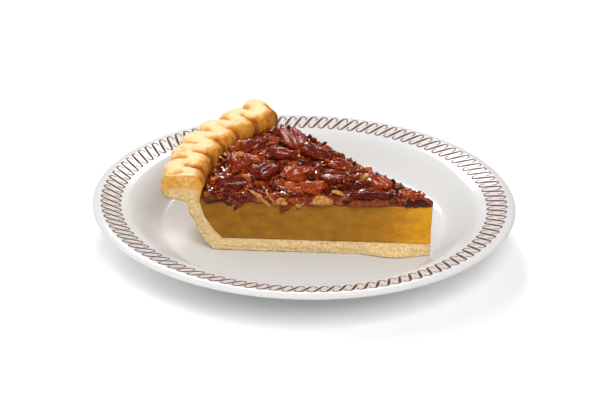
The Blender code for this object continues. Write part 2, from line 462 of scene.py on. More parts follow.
@dataclass(frozen=True)
class SetFilling:
    """Egg and syrup filling, baked until set and cut with a knife.

    Its colour paints the light that comes through it: olive brown where it is deep, and amber at
    the thin tip. The cut is smooth and a little moist, with fine pores that painted shade darkens.
    """

    deep: str = "8E5B1A"
    middle: str = "A6721F"
    warm: str = "BF8023"
    amber: str = "E3A023"
    cloud_mm: float = 6.0
    pore_mm: float = 1.1

    def make(self) -> Material:
        """Build the material.

        It reads how much painted light each point lets through.

        Returns:
            The material.
        """
        material, tree, place = new_material("set_filling")
        glow = add_node(tree, "Attribute", out="Fac", attribute_name="glow")
        layered = add_node(tree, "VectorMath", {1: (1.0, 1.0, 1.6)}, {0: place},
                           operation="MULTIPLY")
        cloud = add_node(tree, "TexNoise", {"Scale": 1000 / self.cloud_mm, "Detail": 4.0,
                                            "Roughness": 0.6}, {"Vector": layered})
        pore = add_node(tree, "TexNoise", {"Scale": 1000 / self.pore_mm, "Detail": 2.0},
                        {"Vector": place})
        # painted light: deep olive to bright amber as the filling seems to let more light through
        colour = add_node(tree, "ValToRGB", links={"Fac": swayed(tree, glow, cloud, 0.85)},
                          stops=((0.0, self.deep), (0.35, self.middle), (0.68, self.warm),
                                 (1.0, self.amber)))
        # painted shade: the colour darkens where the pores sink the bump
        speck = add_node(tree, "MapRange", {"From Min": 0.30, "From Max": 0.40, "To Min": 0.82,
                                            "To Max": 1.0}, {"Value": pore})
        shaded = add_node(tree, "Mix", {0: 1.0}, {6: colour, 7: speck}, out=2, data_type="RGBA",
                          blend_type="MULTIPLY")
        bump = add_node(tree, "Bump", {"Strength": 0.25, "Distance": 0.0004}, {"Height": pore})
        add_surface(tree, {"Roughness": 0.42, "IOR": 1.42, "Specular IOR Level": 0.2},
                    {"Base Color": shaded, "Normal": bump})
        return material


@dataclass(frozen=True)
class NutSyrup:
    """Dark corn and butter syrup, boiled down in the oven and set around the nuts.

    Clear red brown over dark gaps, amber where it is thin. All its shine is the wet coat's.
    """

    dark: str = "521B08"
    red: str = "7A260C"
    amber: str = "A25C24"
    pool_mm: float = 5.0
    ripple_mm: float = 1.1

    def make(self) -> Material:
        """Build the material.

        Returns:
            The material.
        """
        material, tree, place = new_material("nut_syrup")
        pool, ripple = (add_node(tree, "TexNoise", {"Scale": 1000 / size, "Detail": 3.0},
                                 {"Vector": place}) for size in (self.pool_mm, self.ripple_mm))
        colour = add_node(tree, "ValToRGB", links={"Fac": pool},
                          stops=((0.32, self.dark), (0.52, self.red), (0.70, self.amber)))
        bump = add_node(tree, "Bump", {"Strength": 0.6, "Distance": 0.0005}, {"Height": ripple})
        add_surface(tree, {"Roughness": 0.35, "IOR": 1.49, "Specular IOR Level": 0.0,
                           "Coat Weight": 0.8, "Coat Roughness": 0.1, "Coat IOR": 1.4},
                    {"Base Color": colour, "Normal": bump})
        return material


@dataclass(frozen=True)
class GlazedPecan:
    """Pecan kernels toasted under syrup.

    The thin skin is deep red brown and wrinkled; broken and cut faces are cream to tan. A film of
    syrup in fine beads lies over both and gives the bright, broken shine.
    """

    skin_dark: str = "400A03"
    skin: str = "902D10"
    skin_light: str = "BA6022"
    flesh: str = "D39A52"
    flesh_shadow: str = "A4652C"
    wrinkle_mm: float = 1.2
    bead_mm: float = 0.9

    def make(self) -> Material:
        """Build the material.

        It reads each piece's tone, which holds painted shade for pieces along the cuts, and where its
        flesh shows.

        Returns:
            The material.
        """
        material, tree, place = new_material("glazed_pecan")
        tone, flesh = (add_node(tree, "Attribute", out="Fac", attribute_name=name)
                       for name in ("tone", "flesh"))
        wrinkle, beads = (add_node(tree, "TexNoise", {"Scale": 1000 / size, "Detail": detail},
                                   {"Vector": place})
                          for size, detail in ((self.wrinkle_mm, 3.0), (self.bead_mm, 2.0)))
        # darker in the low folds, where the bump sinks: partly the skin's own colour, partly painted
        # shade
        skin = add_node(tree, "ValToRGB", links={"Fac": swayed(tree, tone, wrinkle, 0.9)},
                        stops=((0.18, self.skin_dark), (0.5, self.skin), (0.9, self.skin_light)))
        # painted shade: the flesh takes its shadow colour where the folds sink
        inner = add_node(tree, "ValToRGB", links={"Fac": wrinkle},
                         stops=((0.38, self.flesh_shadow), (0.6, self.flesh)))
        colour = add_node(tree, "Mix", links={0: flesh, 6: skin, 7: inner}, out=2, data_type="RGBA")
        bump = add_node(tree, "Bump", {"Strength": 0.7, "Distance": 0.0008}, {"Height": wrinkle})
        film = add_node(tree, "Bump", {"Strength": 0.5, "Distance": 0.0004},
                        {"Height": beads, "Normal": bump})
        add_surface(tree, {"Roughness": 0.45, "IOR": 1.47, "Specular IOR Level": 0.0,
                           "Coat Weight": 0.9, "Coat Roughness": 0.1, "Coat IOR": 1.42},
                    {"Base Color": colour, "Normal": bump, "Coat Normal": film})
        return material


# ---------------------------------------------------------------- the slice's own frame

@dataclass(frozen=True)
class Wedge:
    """The slice's polar frame: its tip, the near cut's heading and the angle to the far cut."""

    tip: Array
    heading: float = math.radians(178.8)
    angle: float = math.radians(46.0)

    @classmethod
    def from_model(cls) -> "Wedge":
        """Read the tip from the filling's box and the floor's height from the crust's."""
        low, high = (np.array(corner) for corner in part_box("filling"))
        return cls(np.array([high[0], low[1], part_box("crust")[0][2]]))

    def world(self, radius: Array, angle: Array, height: Array) -> Array:
        """Turn polar places into world places.

        Args:
            radius: Distance from the tip's upright line.
            angle: Clockwise turn from the near cut.
            height: Height over the floor of the slice.

        Returns:
            The places, with x, y and z in the last axis.
        """
        turn = self.heading - angle
        flat = np.stack([radius * np.cos(turn), radius * np.sin(turn), height], axis=-1)
        return flat + self.tip

    def polar(self, points: Array) -> tuple[Array, Array, Array]:
        """Turn world places into polar ones.

        Args:
            points: Places, one row each.

        Returns:
            Distance from the tip, angle from the near cut, and height.
        """
        x, y, height = (points - self.tip).T
        radius = np.hypot(x, y)
        angle = (self.heading - np.arctan2(y, x) + math.pi) % (2 * math.pi) - math.pi
        return radius, angle, height

    def near_normal(self) -> Array:
        """Direction out of the near cut face."""
        return np.array([-math.sin(self.heading), math.cos(self.heading), 0.0])

    def far_normal(self) -> Array:
        """Direction out of the far cut face."""
        turn = self.heading - self.angle
        return np.array([math.sin(turn), -math.cos(turn), 0.0])

    def cut_shares(self, radius: Array, angle: Array, width: float) -> list[Array]:
        """Share of the near and of the far cut at each point: 1 on it, 0 from a width away."""
        return [smooth(1 - radius * np.abs(angle - turn) / width) for turn in (0.0, self.angle)]


# ---------------------------------------------------------------- plate

@dataclass
class DessertPlate:
    """Round china plate: turned body and printed border of running scrolls."""

    radius: float = 95.0 * MM
    band: tuple[float, float] = (82.5 * MM, 91.0 * MM)
    crown_height: float = 21.0 * MM
    shoulder: tuple[float, float] = (80.0 * MM, 18.2 * MM)
    well: tuple[float, float] = (63.0 * MM, 7.0 * MM)
    wall: float = 4.2 * MM
    lip: float = 2.2 * MM
    foot: tuple[float, float] = (57.0 * MM, 4.5 * MM)
    segments: int = 300
    scrolls: int = 109
    first_scroll: float = math.radians(-6.43)
    scroll_steps: int = 40
    slant: float = 0.36
    rise: float = 0.392
    hook: tuple[float, float] = (0.27, 0.18)
    hook_turn: tuple[float, float] = (0.41, 4.1)
    bold_width: float = 1.32 * MM
    hair_width: float = 0.58 * MM
    bold_power: float = 1.8
    end_width: float = 0.6
    print_lift: float = 0.05 * MM

    def face_height(self, radius: Array) -> Array:
        """Height of the eating side at a radius.

        Flat to the edge of the well, then a Hermite cubic up to the shoulder that leaves it with
        the rim's slope, then the straight rim up to the crown.

        Args:
            radius: Distances from the plate's axis.

        Returns:
            Their heights.
        """
        slope = (self.crown_height - self.shoulder[1]) / (self.band[1] - self.shoulder[0])
        run = self.shoulder[0] - self.well[0]
        t = np.clip((radius - self.well[0]) / run, 0.0, 1.0)
        wall = (self.well[1] * (1 + 2 * t) * (1 - t) ** 2 + self.shoulder[1] * t * t * (3 - 2 * t)
                + slope * run * t * t * (t - 1))
        rim = self.shoulder[1] + slope * (radius - self.shoulder[0])
        return np.where(radius < self.shoulder[0], wall, np.minimum(rim, self.crown_height))

    def profile(self) -> Array:
        """Half section: out over the face, round the lip, and back under to the axis.

        The lip is half an ellipse; the foot ring is a half turn whose sine has a power under 1,
        which squares its shoulders.

        Returns:
            Radius and height, one row each.
        """
        reach = np.concatenate([np.linspace(0, self.well[0], 12, endpoint=False),
                                np.linspace(self.well[0], self.band[1], 60)])
        face = np.stack([reach, self.face_height(reach)], axis=1)
        turn = np.linspace(0, math.pi, 18)[1:]
        lip = np.stack([self.band[1] + (self.radius - self.band[1]) * np.sin(turn),
                        self.crown_height - self.lip / 2 * (1 - np.cos(turn))], axis=1)
        back = np.linspace(self.shoulder[0], self.well[0], 24)
        under = np.stack([back, self.face_height(back) - self.wall], axis=1)
        ledge = self.well[1] - self.wall
        middle, width = self.foot
        turn = np.linspace(0, math.pi, 12)
        ring = np.stack([middle + width / 2 * np.cos(turn),
                         ledge * (1 - np.sin(turn) ** 0.35)], axis=1)
        return np.concatenate([face, lip, under, ring, [[0.0, ledge]]])

    def build_body(self) -> Piece:
        """Turn the half section about the plate's axis.

        Returns:
            The mesh of the body.
        """
        profile = self.profile()
        turn = np.linspace(0, 2 * math.pi, self.segments, endpoint=False)
        radius, height = profile[:, :1], profile[:, 1:]
        points = grid_of(radius * np.cos(turn), radius * np.sin(turn), height)
        return new_mesh("china_plate", points.reshape(-1, 3),
                        grid_quads(len(profile), self.segments, ring=True))

    def scroll_line(self, t: Array) -> tuple[Array, Array]:
        """Middle line of one scroll as t runs from -1 to 1.

        The middle half is a straight slanted stroke; beyond it, both ends turn back in an ellipse
        a (cos p0 - cos p), b (sin p - sin p0), as p runs from p0 to p1.

        Args:
            t: Place along the stroke.

        Returns:
            The place along the border in pitches and across it as a share of the band.
        """
        (wide, high), (start, end) = self.hook, self.hook_turn
        straight = np.clip(2 * t, -1, 1)
        turn = mix(start, end, np.clip(2 * np.abs(t) - 1, 0, 1))
        along = self.slant * straight + np.sign(t) * wide * (math.cos(start) - np.cos(turn))
        across = self.rise * straight + np.sign(t) * high * (np.sin(turn) - math.sin(start))
        return along, 0.5 + across

    def build_border(self) -> Piece:
        """All scrolls of the border, as flat closed strips on the rim.

        A rectangle is carried along each stroke. It is widest in the middle, by a power of the
        cosine, and thin at the ends; this boldness is stored for the finish, as depth of colour.

        Returns:
            The mesh of all strokes.
        """
        steps = self.scroll_steps
        t = np.linspace(-1, 1, steps)
        pitch = 2 * math.pi / self.scrolls
        along, across = self.scroll_line(t)
        middle = (self.band[0] + self.band[1]) / 2
        plan = np.stack([along * pitch * middle, across * (self.band[1] - self.band[0])], axis=1)
        run = np.gradient(plan, axis=0)
        side = np.stack([-run[:, 1], run[:, 0]], axis=1) / np.linalg.norm(run, axis=1)[:, None]
        bold = np.cos(0.5 * math.pi * t) ** self.bold_power
        width = mix(self.hair_width, self.bold_width, bold)
        width[[0, -1]] *= self.end_width
        reach = np.array([-0.5, 0.5, 0.5, -0.5])
        edge = plan[:, None] + side[:, None] * (reach * width[:, None])[..., None]
        lift = np.array([1.0, 1.0, -1.0, -1.0]) * self.print_lift
        turn = self.first_scroll - np.arange(self.scrolls) * pitch
        angle = turn[:, None, None] - edge[None, :, :, 0] / middle
        radius = self.band[0] + np.broadcast_to(edge[None, :, :, 1], angle.shape)
        height = self.face_height(radius) + lift
        points = np.stack([radius * np.cos(angle), radius * np.sin(angle), height], axis=-1)
        last = 4 * steps - 1
        caps = np.array([[0, 1, 2, 3], [last, last - 1, last - 2, last - 3]])
        one = np.concatenate([grid_quads(steps, 4, ring=True), caps])
        quads = np.concatenate([one + k * 4 * steps for k in range(self.scrolls)])
        return new_mesh("scroll_border", points.reshape(-1, 3), quads,
                        bold=np.tile(np.repeat(bold, 4), self.scrolls))

    def make(self, china: Material, enamel: Material) -> None:
        """Build and dress the plate."""
        finish_piece(self.build_body(), china, Slot.CHINA, "plate")
        finish_piece(self.build_border(), enamel, Slot.CHINA)


# ---------------------------------------------------------------- pastry

@dataclass
class PastryShell:
    """Bottom crust, side wall and fluted edge, with baked skin and crumbly cut faces.

    Where a grain, crown or skin has two values, the second holds at the near cut for the skin's
    grain and on the rim for the others. The levels from 0 to 1 say how far a place is baked; the
    pocket and inner levels also hold painted shade.
    """

    wedge: Wedge
    thickness: float = 5.8 * MM
    base_radius: float = 93.8 * MM
    wall_top: tuple[float, float] = (106.9 * MM, 22.6 * MM)
    inner_base: float = 91.1 * MM
    inner_top: tuple[float, float] = (100.7 * MM, 24.6 * MM)
    rim_centre: tuple[float, float] = (107.9 * MM, 29.3 * MM)
    rim_half: tuple[float, float] = (8.8 * MM, 5.9 * MM)
    rim_squareness: float = 3.3
    wall_bulge: float = 0.62
    flute_pitch: float = math.radians(7.85)
    flute_start: float = math.radians(-1.6)
    flute_swing: float = 1.5 * MM
    flute_depth: float = 2.6 * MM
    inner_side_to: float = 0.62
    outer_side_from: float = 0.40
    side_fade: float = 0.5
    far_share: float = 0.6
    far_spread: float = 2.8 * MM
    far_rise: float = 1.4 * MM
    last_rise: float = 1.5 * MM
    rim_lumps: float = 0.55 * MM
    skin_grain: tuple[float, float] = (0.16 * MM, 0.5 * MM)
    crumb_grain: tuple[float, float] = (0.34 * MM, 0.14 * MM)
    cut_crown: tuple[float, float] = (0.35 * MM, 0.6 * MM)
    crest_bake: float = 0.04
    # pocket and inner levels darken the pockets and the rim's inner side: baking plus painted shade
    pocket_bake_and_shade: float = 0.64
    inner_bake_and_shade: float = 0.60
    outer_bake: float = 0.16
    patch_bake: float = 0.10
    spot_bake: float = 0.16
    cut_bake: float = 0.38
    wall_bake: float = 0.22
    edge_skin_mm: tuple[float, float] = (0.35, 2.2)
    bare_below: float = 26.2 * MM
    bare_fade: float = 4.5 * MM
    drag: float = 3.4 * MM
    drag_at: float = 17.0 * MM
    turns: int = 176
    across: int = 18
    zones: tuple[int, int, int] = (92, 34, 58)

    def rim_arc(self, start: float, end: float, count: int) -> Array:
        """Stretch of the rim's section, a superellipse.

        Args:
            start: First angle, in degrees.
            end: Last angle, in degrees.
            count: Number of points.

        Returns:
            Radius and height, one row each.
        """
        turn = np.radians(np.linspace(start, end, count))
        round_off = np.stack([np.cos(turn), np.sin(turn)], axis=1)
        return (np.array(self.rim_centre) + np.array(self.rim_half) * np.sign(round_off)
                * np.abs(round_off) ** (2 / self.rim_squareness))

    def outer_line(self) -> Array:
        """Outside of the section: under the base, up the wall, round the rim to its crest.

        The wall swells outwards: its radius follows a power, under 1, of the height.

        Returns:
            Radius and height, one row each.
        """
        base, wall, rim = self.zones
        flat = np.stack([np.linspace(0, self.base_radius, base), np.zeros(base)], axis=1)
        t = np.linspace(0, 1, wall + 1)[1:]
        up = np.stack([mix(self.base_radius, self.wall_top[0], t ** self.wall_bulge),
                       self.wall_top[1] * t], axis=1)
        return np.concatenate([flat, up, self.rim_arc(-68, 90, rim)])

    def inner_line(self) -> Array:
        """Inside of the section: over the bottom crust, up the inner wall, over to the crest.

        Returns:
            Radius and height, one row each.
        """
        base, wall, rim = self.zones
        flat = np.stack([np.linspace(0, self.inner_base, base), np.full(base, self.thickness)],
                        axis=1)
        t = np.linspace(0, 1, wall + 1)[1:]
        height = mix(self.thickness, self.inner_top[1], t)
        up = np.stack([self.inner_wall(height), height], axis=1)
        return np.concatenate([flat, up, self.rim_arc(180, 90, rim)])

    def inner_wall(self, height: Array) -> Array:
        """Radius of the inner wall: it leans out by 1 - (1 - t)^2 as t rises from 0 to 1."""
        t = (height - self.thickness) / (self.inner_top[1] - self.thickness)
        return mix(self.inner_base, self.inner_top[0], 1 - (1 - t) ** 2)

    def surface_grid(self) -> tuple[Array, Array, Array]:
        """The outer and the inner skin, and between them the near and the far cut face.

        Returns:
            Polar points, faces, and how deep each point lies under the skin.
        """
        outer, inner = self.outer_line(), self.inner_line()
        angle = np.linspace(0, self.wedge.angle, self.turns)
        blend = np.linspace(0, 1, self.across)
        face = mix(outer[:, None, :], inner[:, None, :], blend[None, :, None])
        thick = np.linalg.norm(outer - inner, axis=1)
        inside = (thick[:, None] * np.minimum(blend, 1 - blend)).ravel()
        skins = [grid_of(line[:, :1], angle, line[:, 1:]) for line in (outer, inner)]
        cuts = [grid_of(face[..., 0], turn, face[..., 1]) for turn in (0.0, self.wedge.angle)]
        points, quads = joined_grids(*skins, *cuts)
        return points, quads, np.concatenate([np.zeros(len(points) - 2 * inside.size),
                                              inside, inside])

    def flute(self, radius: Array, angle: Array, height: Array) -> tuple[Array, Array, Array]:
        """Wind the edge in and out along the angle x and press pockets into its bends.

        The outer side follows 2 |cos x/2| - 1 and the inner side 2 |sin x/2| - 1, whose pockets
        are narrow and creased while the lumps between them are wide and round.

        Args:
            radius: Distance of each point from the tip.
            angle: Its angle from the near cut.
            height: Its height.

        Returns:
            New radius, new height and the depth of the pocket from 0 to 1.
        """
        span_r, span_h = self.rim_half
        outward = smooth((radius - self.rim_centre[0] + span_r) / (2 * span_r))
        upper = smooth((height - self.rim_centre[1] + span_h) / (2 * span_h))
        on_rim = (height > self.inner_top[1]) | (radius > self.wall_top[0])
        turn = math.pi * (angle - self.flute_start) / self.flute_pitch
        lump, back = 2 * np.abs(np.cos(turn)) - 1, 2 * np.abs(np.sin(turn)) - 1
        out, into, pressed = np.maximum(lump, 0), np.maximum(-lump, 0), np.maximum(-back, 0)
        inner_side = smooth((self.inner_side_to - outward) / self.side_fade)
        outer_side = smooth((outward - self.outer_side_from) / self.side_fade)
        pocket = pressed * inner_side + into * outer_side
        swing = self.flute_swing * (out - into * outward)
        far = smooth(angle / self.wedge.angle / self.far_share)
        last = smooth((angle - self.wedge.angle) / self.flute_pitch + 1)
        rise = self.far_rise * far + self.last_rise * last
        return (radius + on_rim * (swing + self.far_spread * far * outward),
                height + on_rim * upper * (rise - self.flute_depth * pocket), on_rim * pocket)

    def build(self) -> Piece:
        """Weld the four surfaces, flute the edge and roughen skin and crumb.

        Noise moves each point along its normal: broad lumps on the rim, a fine grain on the skin
        and a coarser one on the crumb, stretched along the cut. The middle of each cut face bulges
        a little, and the bottom crust was dragged out by the knife near the tip.

        Returns:
            The finished mesh, with its attributes.
        """
        polar, quads, depths = self.surface_grid()
        flat = grid_of(polar[:, 0] * np.cos(polar[:, 1]), polar[:, 0] * np.sin(polar[:, 1]),
                       polar[:, 2])
        piece = new_mesh("pastry_shell", flat, quads, depth=depths)
        x, y, height = points_of(piece).T
        radius, angle = np.hypot(x, y), np.arctan2(y, x)
        depth = np.empty(len(radius))
        piece.data.attributes["depth"].data.foreach_get("value", depth)
        near, far = self.wedge.cut_shares(radius, angle, 0.25 * MM)
        cut = np.maximum(near, far)
        new_radius, new_height, pocket = self.flute(radius, angle, height)
        set_points(piece, self.wedge.world(new_radius, angle, new_height))
        piece.data.flip_normals()
        place, outward = points_of(piece), normals_of(piece)
        on_rim = smooth((height - 0.9 * self.wall_top[1]) / (3 * MM))
        lumps = self.rim_lumps * layered_noise(place, 8 * MM, Seed.RIM_LUMPS) * on_rim
        by_cut = self.wedge.cut_shares(radius, angle, 3 * MM)[0] * (1 - on_rim)
        skin = mix(*self.skin_grain, by_cut) * layered_noise(place, 2.6 * MM, Seed.SKIN)
        crumb = mix(*self.crumb_grain, on_rim) * layered_noise(place * np.array([0.6, 1.0, 1.6]),
                                                               1.9 * MM, Seed.CRUMB)
        place = place + outward * (lumps + mix(skin, crumb, cut))[:, None]
        for share, normal in ((near, self.wedge.near_normal()), (far, self.wedge.far_normal())):
            crown = mix(*self.cut_crown, on_rim) * (smooth(depth / (3.2 * MM)) - 0.7)
            place = place + normal * (share * crown)[:, None]
        dragged = (near * smooth(1 - np.abs(radius - self.drag_at) / self.drag_at)
                   * smooth(1 - height / (self.thickness * 1.1)))
        place = place + self.wedge.near_normal() * (self.drag * dragged)[:, None]
        place[:, 2] = np.maximum(place[:, 2], self.wedge.tip[2] - 0.25 * MM)
        set_points(piece, place)
        self.store_bake_and_shade(piece, place, radius, height, pocket, cut, depth, on_rim)
        return piece

    def store_bake_and_shade(self, piece: Piece, place: Array, radius: Array, height: Array,
                   pocket: Array, cut: Array, depth: Array, on_rim: Array) -> None:
        """Store browning plus painted shade: pockets darkest, crests least, crumb not at all.

        Args:
            piece: The shell.
            place: Its points.
            radius: Their distance from the tip before fluting.
            height: Their height before fluting.
            pocket: Depth of the flute's pocket, from 0 to 1.
            cut: Share of the cut faces.
            depth: Depth under the skin.
            on_rim: Share of the rim.
        """
        patch = layered_noise(place, 6 * MM, Seed.BROWN_PATCHES, 2)
        spot = smooth((layered_noise(place, 3 * MM, Seed.BROWN_SPOTS, 2) - 0.25) / 0.5)
        outward = (radius - self.rim_centre[0]) / (2 * self.rim_half[0]) + 0.5
        # painted shade: the rim's inner side and the pockets are darkened on top of their browning
        inner, outer = smooth((0.36 - outward) / 0.3), smooth((outward - 0.78) / 0.25)
        browned_and_shaded = smooth(1.3 * (pocket + 0.22 * patch)) * mix(1.0, 0.7, outer)
        bake_and_shade = (self.crest_bake + self.pocket_bake_and_shade * browned_and_shaded + self.inner_bake_and_shade * inner
                + self.outer_bake * outer + self.patch_bake * patch
                + self.spot_bake * spot * smooth(2 * pocket))
        rim = mix(bake_and_shade, self.cut_bake + 0.12 * patch, cut)
        bake_and_shade = mix(self.wall_bake + 0.15 * patch, rim, on_rim)
        edge = mix(*self.edge_skin_mm, on_rim) * MM
        bare = cut * smooth(depth / edge - 0.1 + 0.15 * patch)
        bare = bare * (1 - smooth((height - self.bare_below) / self.bare_fade))
        set_attribute(piece, "bake_and_shade", np.clip(bake_and_shade, 0, 1))
        set_attribute(piece, "cut", bare)

    def make(self, material: Material) -> None:
        """Build and dress the shell."""
        finish_piece(self.build(), material, Slot.PASTRY, "crust")


# ---------------------------------------------------------------- filling

@dataclass
class PieFilling:
    """Smooth filling with knife-cut faces."""

    wedge: Wedge
    shell: PastryShell
    gap: float = 0.15 * MM
    height: float = 24.4 * MM
    wave: float = 0.25 * MM
    pit: float = 0.5 * MM
    thin_reach: float = 34.0 * MM
    # levels of the painted light through the filling, which its finish turns into colour
    glow_deep: float = 0.16
    glow_far: float = 0.22
    glow_tip: float = 0.62
    glow_lost_at_top: float = 0.14
    along: int = 240
    up: int = 46
    turns: int = 60

    def build(self) -> Piece:
        """Wedge between two cut faces, whose points run from the tip to the inner wall.

        The knife leaves a slow wave and fine pits in the cut faces. The light that a point lets
        through, painted into its colour, grows towards the thin tip and is less near the nuts.

        Returns:
            The finished mesh, with its attribute.
        """
        base = self.shell.thickness + self.gap
        level = np.linspace(base, self.height, self.up)
        wall = self.shell.inner_wall(level) - self.gap
        share = np.linspace(0, 1, self.along)
        angle = np.linspace(0, self.wedge.angle, self.turns)
        cuts = [grid_of(wall[:, None] * share, turn, level[:, None])
                for turn in (0.0, self.wedge.angle)]
        lids = [grid_of((wall[row] * share)[:, None], angle, level[row]) for row in (0, -1)]
        back = grid_of(wall[:, None], angle, level[:, None])
        polar, quads = joined_grids(*cuts, *lids, back)
        piece = new_mesh("set_filling", self.wedge.world(*polar.T), quads)
        place, outward = points_of(piece), normals_of(piece)
        radius, angle, height = self.wedge.polar(place)
        cut = np.maximum(*self.wedge.cut_shares(radius, angle, 0.2 * MM))
        inside = smooth((height - base) / (1 * MM)) * smooth((self.height - height) / (1 * MM))
        wave = self.wave * layered_noise(place, 14 * MM, Seed.KNIFE_WAVE, 2)
        pits = -self.pit * smooth((layered_noise(place, 1.8 * MM, Seed.PORES, 2) - 0.75) / 0.5)
        place = place + outward * ((wave + pits) * cut * inside)[:, None]
        set_points(piece, place)
        # painted light: brighter towards the thin tip, darker at the top under the nuts
        thin = smooth(1 - radius / self.thin_reach)
        glow = (self.glow_deep + self.glow_far * smooth(1 - radius / (100 * MM))
                + self.glow_tip * thin ** 1.2)
        glow -= self.glow_lost_at_top * smooth((height - 18 * MM) / (6 * MM)) * (1 - thin)
        set_attribute(piece, "glow", np.clip(glow, 0, 1))
        return piece

    def make(self, material: Material) -> None:
        """Build and dress the filling."""
        finish_piece(self.build(), material, Slot.FILLING, "filling")


# ---------------------------------------------------------------- nuts

@dataclass
class PecanKernel:
    """Shape of a pecan half, as a function of a turn about its long axis and a place along it.

    Measures are shares of the half width. The groove has a width, a depth and what it gains at the
    tips; flank and hollow have a place, a width and a depth.
    """

    rings: int = 26
    sides: int = 28
    fullness: float = 2.4
    taper: float = 0.12
    groove: tuple[float, float, float] = (0.17, 0.46, 0.22)
    flank: tuple[float, float, float] = (0.56, 0.13, 0.17)
    hollow: tuple[float, float, float] = (0.42, 0.22, 0.55)
    back: float = 0.46
    belly: float = 0.20
    folds: float = 0.32
    lumps: float = 0.34

    def surface(self, length: float, width: float, seed: int) -> Array:
        """Points of one half, long axis on X, rounded back on +Z.

        The half width follows the square root of 1 - |t|^fullness, tapered a little. Over the back, a
        Gaussian groove runs down the middle and one down each side, deeper towards the tips; the
        belly has one ridge between two hollows. Noise stretched along the kernel folds the skin.

        Args:
            length: Length in metres.
            width: Width in metres.
            seed: Number of the pattern of folds.

        Returns:
            The points, ring after ring.
        """
        t = -np.cos(np.linspace(0, math.pi, self.rings))[:, None]
        turn = np.linspace(0, 2 * math.pi, self.sides, endpoint=False)[None, :]
        reach = np.sqrt(np.clip(1 - np.abs(t) ** self.fullness, 0, 1)) * (1 - self.taper * t)
        across = np.cos(turn)
        wide, deep, more = self.groove
        middle = np.exp(-(across / wide) ** 2) * (deep + more * np.abs(t))
        flank, hollow = (depth * np.exp(-((np.abs(across) - at) / broad) ** 2)
                         for at, broad, depth in (self.flank, self.hollow))
        back = np.maximum(np.sin(turn), 0) ** 0.72 * (1 - middle - flank)
        belly = np.maximum(-np.sin(turn), 0) ** 0.8 * (1 - hollow)
        up = width * reach * (self.back * back - self.belly * belly)
        x = np.broadcast_to(0.5 * length * t, up.shape)
        y = np.broadcast_to(0.5 * width * reach * across, up.shape)
        points = np.stack([x, y, up], axis=-1).reshape(-1, 3)
        scaled = points / width
        folds = gradient_noise(scaled * np.array([1.6, 5.5, 5.5]), 1.0, Seed.KERNEL_FOLDS + seed)
        lumps = gradient_noise(scaled * np.array([1.3, 2.2, 2.2]), 1.0, Seed.KERNEL_LUMPS + seed)
        bend = points * np.array([0.1, 1.0, 1.0])
        return points + bend * (self.folds * folds + self.lumps * lumps)[:, None]

    def mesh(self, name: str, pieces: list[tuple[Array, Array, Array]], weld: float) -> Piece:
        """One mesh of any number of kernels, each closed.

        Args:
            name: Name of the mesh.
            pieces: Points, tones and flesh shares of each kernel.
            weld: Distance under which points are one.

        Returns:
            The mesh, with its attributes.
        """
        points, tone, flesh = (np.concatenate(part) for part in zip(*pieces))
        quads = [grid_quads(self.rings, self.sides, k * self.rings * self.sides, ring=True)
                 for k in range(len(pieces))]
        return new_mesh(name, points, np.concatenate(quads), weld, tone=tone, flesh=flesh)


def turned(points: Array, yaw: float, pitch: float, roll: float) -> Array:
    """Turn points about X by roll, then Y by pitch, then Z by yaw."""
    spins = (Matrix.Rotation(turn, 3, axis) for turn, axis in ((yaw, "Z"), (pitch, "Y"), (roll, "X")))
    return points @ np.array(next(spins) @ next(spins) @ next(spins)).T


def flatten_beyond(points: Array, flesh: Array, through: Array, normal: Array,
                   bare: float) -> tuple[Array, Array]:
    """Cut a kernel: press all points beyond a plane onto it and mark them as flesh.

    Args:
        points: Places of the kernel.
        flesh: Share of bare flesh at each point.
        through: A point of the plane.
        normal: The plane's direction, out of what is kept.
        bare: Flesh share that the cut face gets.

    Returns:
        The new places and flesh shares.
    """
    beyond = (points - through) @ normal
    over = beyond > 0
    points = points - np.where(over, beyond, 0.0)[:, None] * normal
    return points, np.where(over, np.maximum(flesh, bare), flesh)


@dataclass(frozen=True)
class Strewn:
    """One kind of nut piece: how many, how large, how broken and how it lies.

    Sizes are in mm; lift is how far a piece's highest point stands above the layer's top. Of the
    pieces, at_cuts is the share that lies along the cuts and pale the share whose breaks are bare;
    bare is the flesh share of a pale piece's skin, tilt the spread of its lie in radians, and
    breaks are the odds of no, one and two break planes.
    """

    name: str
    seed: int
    count: int
    grid: tuple[int, int]
    length: tuple[float, float]
    width: tuple[float, float]
    lift: tuple[float, float]
    at_cuts: float = 0.24
    pale: float = 0.07
    bare: float = 0.0
    tilt: float = 0.45
    tone: tuple[float, float] = (0.0, 0.9)
    breaks: tuple[float, float, float] = (0.2, 0.4, 0.4)


@dataclass(frozen=True)
class PaleChip:
    """A broken piece that shows its cream flesh: polar place, height, size and turn.

    Sizes and heights are in mm, angles in degrees; the angle is taken from the near cut. Flesh is
    the share of bare flesh, the rest is thin skin.
    """

    radius: float
    angle: float
    height: float
    length: float
    width: float
    pitch: float = 0.0
    yaw: float = 0.0
    flesh: float = 0.85


